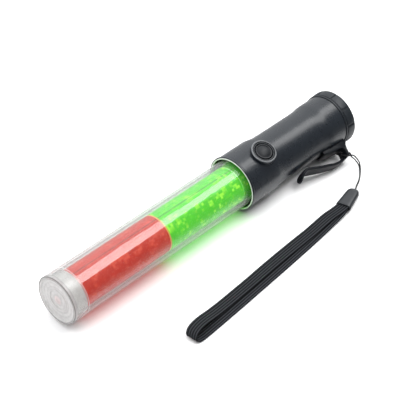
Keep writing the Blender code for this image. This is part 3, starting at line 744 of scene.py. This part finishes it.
def make_webbing():
    """A ribbon with ribs along it, and a faint cross weave from one stitch to the next."""
    line = webbing_route()
    long = length_of(line)
    path = evenly(line, int(2 * long / WEB_STITCH))
    steps = WEB_RIBS * STEPS_PER_RIB
    shares = [step / steps for step in range(steps + 1)]
    rings, across, along = [], [], []
    for index, point in enumerate(path):
        from_end = long * min(index, len(path) - 1 - index) / len(path)
        turning = max(0.0, 1 - from_end / WEB_TURN_OVER)
        heading = WEB_HEADING + (FERRULE_HEADING - WEB_HEADING) * turning**2 * (3 - 2 * turning)
        side = Vector((-math.sin(heading), math.cos(heading), 0))
        ahead = path[min(index + 1, len(path) - 1)] - path[max(index - 1, 0)]
        face = ahead.cross(side).normalized()
        top, bottom = [], []
        for share in shares:
            rib = abs(math.sin(math.pi * WEB_RIBS * share))
            weave = WEB_WEAVE * (1 if (index + int(share * WEB_RIBS)) % 2 else -1)
            rounded = min(1.0, WEB_EDGE + WEB_EDGE_SLOPE * min(share, 1 - share))
            filled = WEB_VALLEY + WEB_RIB * rib**WEB_RIB_POWER + weave * rib
            half = WEB_THICKNESS / 2 * rounded * filled
            middle = point + side * WEB_WIDTH * (share - 0.5)
            top.append(middle + face * half)
            bottom.append(middle - face * half)
        rings.append(top + bottom[::-1])
        across += shares + shares[::-1]
        along += [long * index / len(path)] * (2 * len(shares))
    web = add_piece("webbing", skin(rings), web_nylon, "baton", angle=80.0)
    mark(web, "across", across)
    mark(web, "along", along)
    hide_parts("strap_webbing")


# ---- the two sleeves; lengths in metres ----
FILM_WALL = 0.001
CELL_GROOVE = 0.00006
CELL_LEAN = 0.00007
CELL_RIM = 0.07  # the share of a cell at each side that its groove takes up


def make_sleeve(name, node, material, seed):
    """Film rolled into a tube, embossed with square cells that each lean a little their own way."""
    low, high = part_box(node)
    radius = (high[1] - low[1]) / 2
    middle = radius - CELL_GROOVE / 2 - CELL_LEAN
    count = math.ceil((high[0] - low[0]) / CELL_PITCH)
    start = math.floor(low[0] / CELL_PITCH)
    ends = sorted({min(max((start + k) * CELL_PITCH, low[0]), high[0]) for k in range(count + 2)})
    chance = np.random.default_rng(seed)
    mesh = bmesh.new()

    def place(x, turn, reach):
        bend = TURN * turn / CELLS_ROUND
        return mesh.verts.new((x, AXIS_Y + reach * math.cos(bend), AXIS_Z + reach * math.sin(bend)))

    def circles(stations, reach):
        return [[place(x, turn, reach) for turn in range(CELLS_ROUND)] for x in stations]

    outer = circles(ends, radius - CELL_GROOVE)
    inner = circles((ends[0], ends[-1]), radius - FILM_WALL)
    for k in range(len(ends) - 1):
        for turn in range(CELLS_ROUND):
            after = (turn + 1) % CELLS_ROUND
            tilt_along, tilt_round = chance.uniform(-CELL_LEAN, CELL_LEAN, 2)
            corners = []
            for right, above in ((-1, -1), (1, -1), (1, 1), (-1, 1)):
                across = 0.5 + right * (0.5 - CELL_RIM)
                upwards = 0.5 + above * (0.5 - CELL_RIM)
                reach = middle + tilt_along * (across - 0.5) + tilt_round * (upwards - 0.5)
                corners.append(place(ends[k] + (ends[k + 1] - ends[k]) * across, turn + upwards, reach))
            sides = (outer[k][turn], outer[k + 1][turn], outer[k + 1][after], outer[k][after])
            mesh.faces.new(corners)
            for a in range(4):
                b = (a + 1) % 4
                mesh.faces.new((sides[a], sides[b], corners[b], corners[a]))
    for turn in range(CELLS_ROUND):
        after = (turn + 1) % CELLS_ROUND
        mesh.faces.new((inner[0][turn], inner[1][turn], inner[1][after], inner[0][after]))
        mesh.faces.new((outer[0][turn], outer[0][after], inner[0][after], inner[0][turn]))
        mesh.faces.new((outer[-1][turn], outer[-1][after], inner[1][after], inner[1][turn]))
    sleeve = add_piece(name, mesh, material, "baton", angle=1.0)
    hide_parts(node)


# ---- clasp and clip; lengths in mm, but for the clasp's place ----
LOOP_POINTS = 28
FERRULE_PLACE = (-0.0976, 0.0591, 0.0041)
FERRULE_BOXINESS = 3.4
FERRULE_TIP = -13.9
FERRULE_NOSE = -8.0
FERRULE_REAR = 10.0
FERRULE_BEVEL = 0.5
FERRULE_HALF_WIDTH = 5.2
FERRULE_HALF_HEIGHT = 2.9
FERRULE_FLARE = 1.0
FERRULE_CREST_POWER = 0.8
FERRULE_BLUNT = 0.35
NOSE_STEPS = 12
BODY_STEPS = 10
LEAF_BOXINESS = 4.2
LEAF_ROOT_ROUNDING = 0.1
LEAF_ROOT_WIDTH = 0.93
LEAF_ROOT_DEPTH = 0.85
TONGUE_STEP = math.radians(28)
TONGUE_ROUNDING = 0.9


def boxy_ring(middle, first, second, boxiness):
    """A closed loop between an ellipse and a box: first and second reach from its middle to its sides."""
    ring = []
    for step in range(LOOP_POINTS):
        bend = TURN * step / LOOP_POINTS
        c, t = math.cos(bend), math.sin(bend)
        a = math.copysign(abs(c) ** (2 / boxiness), c)
        b = math.copysign(abs(t) ** (2 / boxiness), t)
        ring.append(middle + first * a + second * b)
    return ring


def ferrule_sections():
    """The clasp's sections from tip to mouth: place along it, half width and half height."""
    sections = []
    for step in range(NOSE_STEPS + 1):
        bend = math.pi / 2 * step / NOSE_STEPS
        share = math.sin(bend)
        along = FERRULE_TIP + (FERRULE_NOSE - FERRULE_TIP) * (1 - math.cos(bend))
        wide = max(FERRULE_BLUNT, FERRULE_HALF_WIDTH * share)
        high = max(FERRULE_BLUNT, FERRULE_HALF_HEIGHT * share**FERRULE_CREST_POWER)
        sections.append((along, wide, high))
    long = FERRULE_REAR - FERRULE_NOSE
    for step in range(1, BODY_STEPS + 1):
        behind = (long - FERRULE_BEVEL) * step / BODY_STEPS
        flare = FERRULE_FLARE * behind / long
        sections.append((FERRULE_NOSE + behind, FERRULE_HALF_WIDTH + flare, FERRULE_HALF_HEIGHT))
    mouth = ((0.1, 6.05, 2.75), (0, 5.85, 2.6), (0, 5.5, 1.9), (0.15, 5.4, 1.75), (3, 5.3, 1.6))
    for inside, wide, high in mouth:
        sections.append((FERRULE_REAR - inside, wide, high))
    return sections


def make_ferrule():
    """The clasp: rounded in front, where the cord goes in, and hollow behind, where the ribbon does."""
    turned = Matrix.Translation(FERRULE_PLACE) @ Matrix.Rotation(FERRULE_HEADING, 4, "Z")
    ahead, side, up = Vector((MM, 0, 0)), Vector((0, MM, 0)), Vector((0, 0, MM))
    rings = []
    for along, wide, high in ferrule_sections():
        ring = boxy_ring(ahead * along, side * wide, up * high, FERRULE_BOXINESS)
        rings.append([turned @ point for point in ring])
    ferrule = add_piece("ferrule", skin(rings), ferrule_grey, "baton", angle=50.0)
    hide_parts("strap_ferrule")


def make_clip_leaf():
    """The clip's sprung leaf, with rounded edges and a tongue that turns outwards at its end."""
    # distance behind the tip, outer face's distance from the axis, thickness, upper edge and lower edge
    course = [
        (288.7, 35.1, 2.4, -1.5, 5.4), (285.0, 35.9, 2.5, -2.0, 5.4), (280.0, 36.1, 2.6, -3.0, 5.4),
        (275.0, 35.5, 2.7, -4.2, 5.4), (269.0, 34.0, 2.9, -5.4, 5.6), (263.0, 32.2, 3.0, -6.0, 5.8),
        (257.0, 30.0, 3.0, -6.2, 6.0), (252.0, 28.0, 2.9, -6.4, 6.2), (248.5, 26.8, 2.8, -6.6, 6.4),
        (245.5, 26.8, 2.7, -6.7, 6.5), (242.8, 27.9, 2.5, -6.1, 6.1), (240.6, 29.4, 2.4, -4.6, 4.6),
        (239.4, 30.4, 2.2, -2.6, 2.6),
    ]  # fmt: skip
    line = smooth_route([(station, reach, thickness) for station, reach, thickness, _, _ in course])
    edges = smooth_route([(upper, lower, 0) for _, _, _, upper, lower in course])
    loops = []
    for index, (station, reach, thickness) in enumerate(line):
        upper, lower, _ = edges[index]
        before, after = line[max(index - 1, 0)], line[min(index + 1, len(line) - 1)]
        slope = math.atan2(after[1] - before[1], before[0] - after[0])
        deep = thickness / 2
        core = (station - deep * math.sin(slope), reach - deep * math.cos(slope))
        middle = clip_point(core[0], (upper + lower) / 2, core[1])
        outward = Vector((-math.sin(slope), 0, 0)) + CLIP_OUT * math.cos(slope)
        loops.append((middle, CLIP_DOWN * (lower - upper) / 2 * MM, outward * deep * MM))
    middle, wide, deep = loops[-1]
    ahead = (middle - loops[-2][0]).normalized() * TONGUE_ROUNDING * MM
    for step in (1, 2, 3):
        bend = TONGUE_STEP * step
        loops.append((middle + ahead * math.sin(bend), wide * math.cos(bend), deep * math.cos(bend)))
    middle, wide, deep = loops[0]
    root = middle - (loops[1][0] - middle).normalized() * LEAF_ROOT_ROUNDING * MM
    loops.insert(0, (root, wide * LEAF_ROOT_WIDTH, deep * LEAF_ROOT_DEPTH))
    rings = [boxy_ring(*loop, LEAF_BOXINESS) for loop in loops]
    leaf = add_piece("clip_leaf", skin(rings), satin_black, "clip_leaf", angle=50.0)
    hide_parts("belt_clip")


make_sleeve("red_mosaic", "red_sleeve", red_film, seed=3)
make_sleeve("green_mosaic", "green_sleeve", green_film, seed=8)
make_ferrule()
make_clip_leaf()
make_lanyard()
make_webbing()

# ---- the room ----
FLOOR_LEVEL = -0.0002
FLOOR_REACH = 3.0
FLOOR_SQUARES = 12
# where the floor beside the baton starts to be painted dark in the baton's gloss, as painted shade in its
# reflection: towards the strap, and away from it
FADE_NEAR = (0.035, 0.09)
FADE_FAR = (-0.12, -0.03)
WALL_BEHIND = 0.95
WALL_IN_FRONT = 0.15
WALL_FADE = (-0.25, 0.30)
CEILING_LIFT = 1.9
CEILING_FADE = (0.0, 0.75)


def floor_paper():
    """White paper; in the baton's gloss it is painted dark except close beside the baton, as painted shade
    in its reflection.
    """
    s = Shader(bpy.data.materials.new("floor_paper"))
    _, side, _ = s.parts()
    near = s.times(s.span(side, 1.0, 0.12, *FADE_NEAR), s.span(side, 0.5, 1.0, *FADE_FAR))
    mirrored = s.add("LightPath", {}).outputs["Is Glossy Ray"]
    # painted shade in the reflection: seen in the baton's gloss, the floor away from the baton turns dark
    painted_gloss_shade = s.times(mirrored, s.math("SUBTRACT", 1.0, near))
    paper = s.blend(s.noise(0.002, 3.0), colour(0.90, 0.90, 0.90), colour(0.93, 0.93, 0.93))
    return s.done(s.add("BsdfPrincipled", {
        "Base Color": s.blend(painted_gloss_shade, paper, colour(0.02, 0.02, 0.02)),
        "Roughness": 0.9,
        "Specular IOR Level": 0.1,
    }))


def make_floor():
    mesh = bmesh.new()
    bmesh.ops.create_grid(
        mesh, x_segments=FLOOR_SQUARES, y_segments=FLOOR_SQUARES, size=FLOOR_REACH,
        matrix=Matrix.Translation((0, 0, FLOOR_LEVEL)),
    )  # fmt: skip
    data = bpy.data.meshes.new("floor")
    mesh.to_mesh(data)
    mesh.free()
    data.materials.append(floor_paper())
    floor = bpy.data.objects.new("floor", data)
    bpy.context.scene.collection.objects.link(floor)


def make_light(name, place, size, turned, power, glossy):
    """A flat light that faces straight down, turned by this many degrees round the vertical."""
    data = bpy.data.lights.new(name, "AREA")
    data.shape = "RECTANGLE"
    data.size, data.size_y = size
    data.energy = power
    light = bpy.data.objects.new(name, data)
    light.location = place
    light.rotation_euler = (0, 0, math.radians(turned))
    light.visible_glossy = glossy
    bpy.context.scene.collection.objects.link(light)


def make_surroundings():
    """A studio that is bright behind the baton and dim in front of it; seen directly it is plain white."""
    world = bpy.data.worlds.new("studio")
    bpy.context.scene.world = world
    s = Shader(world, "Generated")
    _, across, height = s.parts()
    walls = s.span(across, WALL_BEHIND, WALL_IN_FRONT, *WALL_FADE)
    strength = s.times(walls, s.span(height, 1.0, CEILING_LIFT, *CEILING_FADE))
    room = s.add("Background", {"Color": colour(0.97, 0.985, 1.0), "Strength": strength})
    seen = s.add("Background", {"Color": colour(1.0, 1.0, 1.0)})
    direct = s.add("LightPath", {}).outputs["Is Camera Ray"]
    s.done(s.add("MixShader", {0: direct, 1: room.outputs[0], 2: seen.outputs[0]}), "OutputWorld")


make_floor()
make_light("softbox", (-0.69, 0.27, 1.0), (1.2, 0.45), 43.0, 9.4, True)
make_light("softbox_wing", (-0.291, 0.203, 1.0), (0.687, 0.17), 43.0, 2.03, True)
make_light("fill", (0.2, 0.3, 1.8), (2.2, 2.2), 0.0, 24.5, False)
make_surroundings()
bpy.context.scene.view_settings.view_transform = "Standard"
